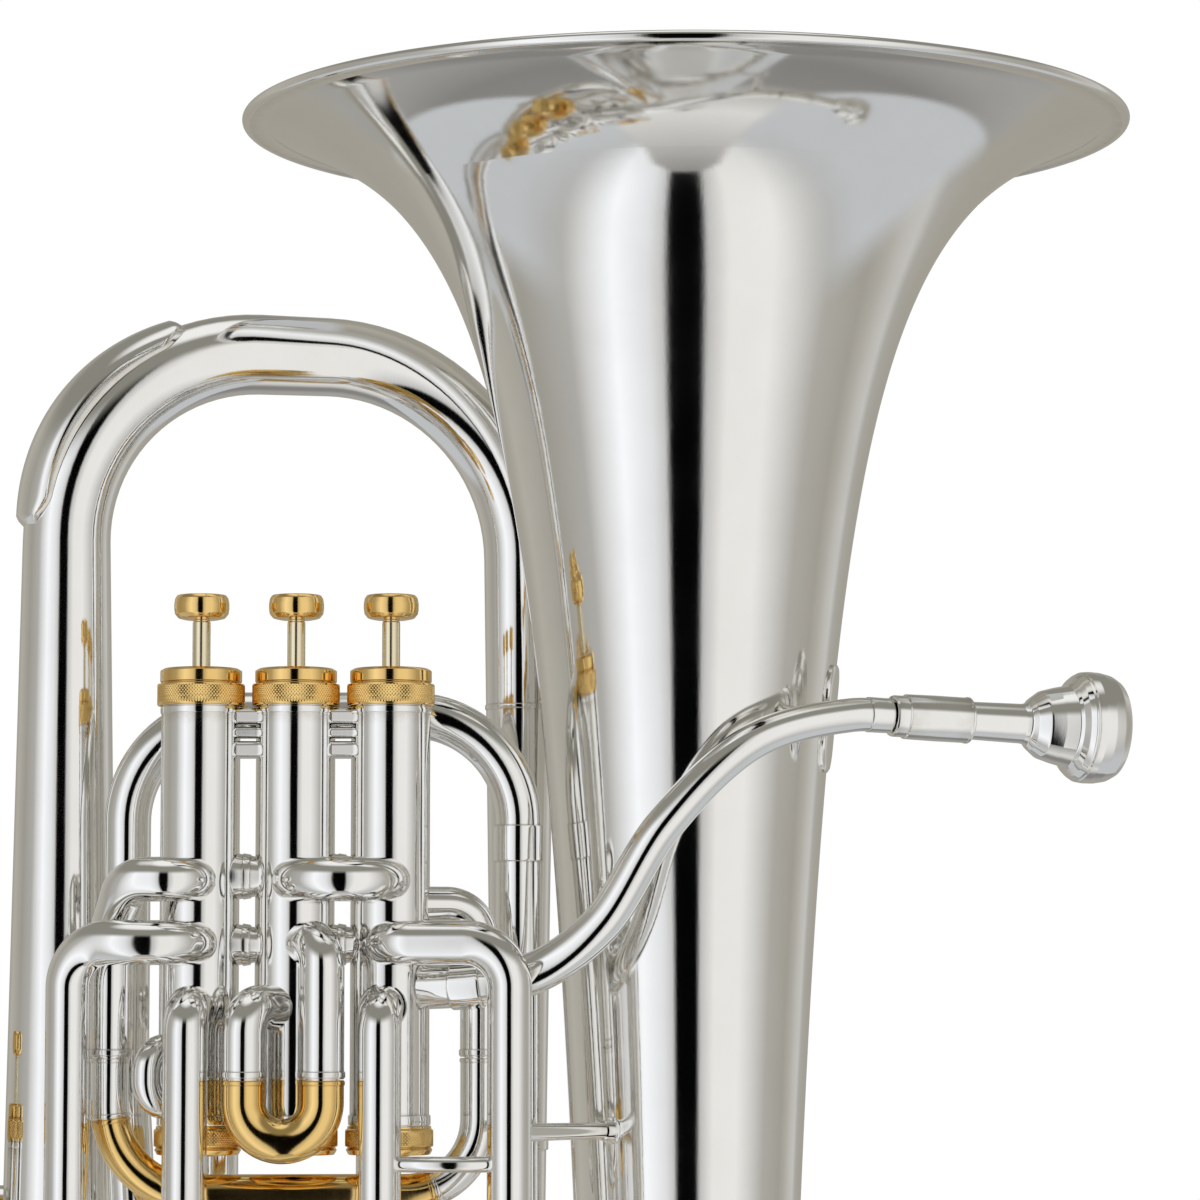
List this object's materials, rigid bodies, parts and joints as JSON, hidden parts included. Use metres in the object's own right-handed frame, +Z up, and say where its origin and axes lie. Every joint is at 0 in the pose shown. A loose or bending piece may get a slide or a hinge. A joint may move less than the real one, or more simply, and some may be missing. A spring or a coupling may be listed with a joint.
{
  "type": "euphonium",
  "caption": "Silver-plated compensating euphonium (tenor tuba): upright flared bell, conical bows, piston valves with gold caps and buttons, pull slides, leadpipe and mouthpiece.",
  "frame": {"origin": "lowest point of the bottom bow, midway between its two legs, where the instrument rests on the player's lap or in a stand", "axes": "+Z up along the bell axis towards the rim; +X from the outer branch towards the bell and the mouthpiece; -Y the side the front valve slides face"},
  "size_m": [0.41, 0.3, 0.65],
  "materials": {
    "silver_plate": "polished silver plate on brass",
    "gold_plate": "polished gold plate on brass",
    "nickel_plate": "fine-ground nickel plate",
    "spring_steel": "drawn spring wire"
  },
  "bodies": {
    "body": {"bell": "silver_plate", "bottom_bow": "silver_plate", "bottom_bow_guard": "silver_plate", "outer_branch": "silver_plate", "top_bow": "silver_plate", "top_bow_guard": "silver_plate", "inner_branch": "silver_plate", "leadpipe": "silver_plate", "mouthpiece_receiver": "silver_plate", "leadpipe_brace": "silver_plate", "bell_brace": "silver_plate", "crossover_1_2": "silver_plate", "crossover_2_3": "silver_plate", "first_slide_inner_tube": "silver_plate", "first_slide_outer_tube": "silver_plate", "second_slide_left_tube": "silver_plate", "second_slide_right_tube": "silver_plate", "third_slide_inner_tube": "silver_plate", "third_slide_outer_tube": "silver_plate", "third_compensating_loop": "silver_plate", "front_link_1_2": "silver_plate", "return_left_tube": "silver_plate", "return_right_tube": "silver_plate", "rear_bow": "silver_plate", "fourth_outlet_tube": "silver_plate", "third_to_fourth_tube": "silver_plate", "fourth_slide_short_tube": "silver_plate", "fourth_slide_long_tube": "silver_plate", "valve_casing_1": "silver_plate", "valve_casing_2": "silver_plate", "valve_casing_3": "silver_plate", "valve_casing_4": "silver_plate", "top_cap_1": "gold_plate", "top_cap_2": "gold_plate", "top_cap_3": "gold_plate", "top_cap_4": "gold_plate", "bottom_cap_1": "gold_plate", "bottom_cap_2": "gold_plate", "bottom_cap_3": "gold_plate", "bottom_cap_4": "gold_plate", "valve_spring_1": "spring_steel", "valve_spring_2": "spring_steel", "valve_spring_3": "spring_steel", "valve_spring_4": "spring_steel"},
    "valve_1": {"piston_1": "nickel_plate", "finger_button_1": "gold_plate"},
    "valve_2": {"piston_2": "nickel_plate", "finger_button_2": "gold_plate"},
    "valve_3": {"piston_3": "nickel_plate", "finger_button_3": "gold_plate"},
    "valve_4": {"piston_4": "nickel_plate", "finger_button_4": "gold_plate"},
    "first_slide": {"first_slide": "gold_plate"},
    "second_slide": {"second_slide": "gold_plate"},
    "third_slide": {"third_slide": "gold_plate"},
    "return_slide": {"return_slide": "gold_plate"},
    "main_slide": {"main_slide": "gold_plate"},
    "fourth_slide": {"fourth_slide": "gold_plate"},
    "main_water_key": {"main_water_key": "gold_plate"},
    "mouthpiece": {"mouthpiece": "silver_plate"}
  },
  "joints": [
    {"name": "valve_1_press", "type": "slide", "parent": "body", "child": "valve_1", "axis": [0, 0, -1], "range_m": [0, 0.0155], "stiffness_N_per_m": 120, "springref_m": -0.018, "deforming": ["valve_spring_1"]},
    {"name": "valve_2_press", "type": "slide", "parent": "body", "child": "valve_2", "axis": [0, 0, -1], "range_m": [0, 0.0155], "stiffness_N_per_m": 120, "springref_m": -0.018, "deforming": ["valve_spring_2"]},
    {"name": "valve_3_press", "type": "slide", "parent": "body", "child": "valve_3", "axis": [0, 0, -1], "range_m": [0, 0.0155], "stiffness_N_per_m": 120, "springref_m": -0.018, "deforming": ["valve_spring_3"]},
    {"name": "valve_4_press", "type": "slide", "parent": "body", "child": "valve_4", "axis": [0, 0, -1], "range_m": [0, 0.0155], "stiffness_N_per_m": 120, "springref_m": -0.018, "deforming": ["valve_spring_4"]},
    {"name": "first_slide_pull", "type": "slide", "parent": "body", "child": "first_slide", "axis": [0, 0, -1], "range_m": [0, 0.055]},
    {"name": "second_slide_pull", "type": "slide", "parent": "body", "child": "second_slide", "axis": [0, 0, -1], "range_m": [0, 0.01]},
    {"name": "third_slide_pull", "type": "slide", "parent": "body", "child": "third_slide", "axis": [0, 0, -1], "range_m": [0, 0.055]},
    {"name": "return_slide_pull", "type": "slide", "parent": "body", "child": "return_slide", "axis": [0, 0, -1], "range_m": [0, 0.02]},
    {"name": "main_slide_pull", "type": "slide", "parent": "body", "child": "main_slide", "axis": [0, 0, -1], "range_m": [0, 0.045]},
    {"name": "fourth_slide_pull", "type": "slide", "parent": "body", "child": "fourth_slide", "axis": [0, 0, -1], "range_m": [0, 0.03]},
    {"name": "main_water_key_press", "type": "hinge", "parent": "main_slide", "child": "main_water_key", "pos_m": [0.0483, -0.0332, 0.236], "axis": [-1, 0, 0], "range_deg": [0, 12], "stiffness_Nm_per_rad": 0.06, "springref_deg": -28.65},
    {"name": "mouthpiece_pull", "type": "slide", "parent": "body", "child": "mouthpiece", "axis": [0.9451, 0.325, -0.035], "range_m": [0, 0.02]}
  ]
}
